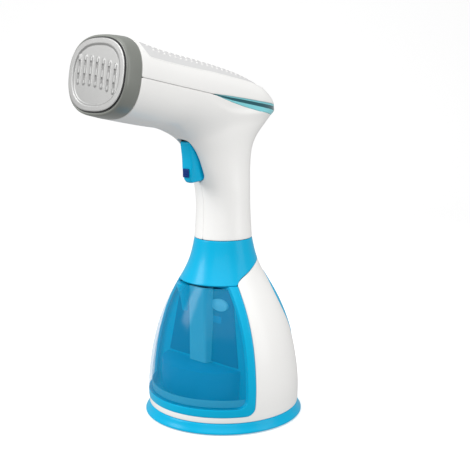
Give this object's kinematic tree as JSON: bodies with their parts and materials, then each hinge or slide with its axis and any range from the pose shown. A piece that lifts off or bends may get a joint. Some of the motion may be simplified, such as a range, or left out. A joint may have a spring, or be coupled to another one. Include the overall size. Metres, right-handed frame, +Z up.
{
  "type": "handheld garment steamer",
  "caption": "Upright handheld garment steamer with a bell-shaped body, clear slide-off water tank, trigger handle and oval steam plate.",
  "frame": {"origin": "centre of the anti-slip pad's underside, on the axis of the bell-shaped body, where it stands", "axes": "+Z up along the body's axis; +X forward, the way the steam head faces; +Y to the user's left"},
  "size_m": [0.1795, 0.12, 0.281],
  "materials": {
    "white_shell": "satin moulded plastic",
    "panel_grey": "fine matt",
    "blue_plastic": "gloss",
    "blue_dark": "satin",
    "blue_light": "soft rubber",
    "tank_clear": "clear tinted plastic",
    "teal_accent": "gloss",
    "bezel_grey": "satin metallic paint",
    "steel": "satin",
    "black_rubber": "matt",
    "grey_rubber": "matt",
    "silicone": "translucent white",
    "aluminium": "as cast",
    "inner_white": "moulded",
    "inner_black": "moulded",
    "board_green": "solder mask",
    "screw_steel": "zinc plated",
    "wire_white": "insulation"
  },
  "bodies": {
    "housing": {"base_ring": "blue_plastic", "base_plate": "inner_white", "anti_slip_pad": "grey_rubber", "base_screws": "screw_steel", "rear_shell": "white_shell", "rear_panel": "blue_plastic", "collar": "blue_plastic", "tank_bay": "blue_dark", "water_pump": "inner_black", "suction_hose": "silicone", "steam_hose": "silicone", "control_board": "board_green", "power_leads": "wire_white", "cord_gland": "inner_black", "cord_clamp": "inner_black", "handle_left_shell": "white_shell", "handle_right_shell": "white_shell", "head_top_cover": "white_shell", "vent_panel": "panel_grey", "rear_accent": "teal_accent", "bezel": "bezel_grey", "plate_gasket": "black_rubber", "steam_plate": "steel", "heating_block": "aluminium", "heating_element": "steel", "thermostat": "steel", "thermal_fuse": "inner_white", "trigger_pin": "screw_steel", "trigger_spring": "screw_steel", "microswitch": "inner_black"},
    "tank": {"tank_back": "blue_plastic", "tank_front": "tank_clear", "tank_plug": "blue_light", "tank_seal": "black_rubber", "intake_tube": "inner_white", "intake_filter": "inner_white"},
    "trigger": {"trigger": "blue_plastic"},
    "lock": {"trigger_lock": "blue_dark"}
  },
  "joints": [
    {"name": "trigger_press", "type": "hinge", "parent": "housing", "child": "trigger", "pos_m": [0.029, 0, 0.202], "axis": [0, 1, 0], "range_deg": [0, 8], "stiffness_Nm_per_rad": 0.12, "springref_deg": -20.05, "deforming": ["trigger_spring"]},
    {"name": "lock_slide", "type": "slide", "parent": "trigger", "child": "lock", "axis": [0, 0, 1], "range_m": [0, 0.004]},
    {"name": "tank_slide", "type": "slide", "parent": "housing", "child": "tank", "axis": [1, 0, 0], "range_m": [0, 0.13]}
  ]
}
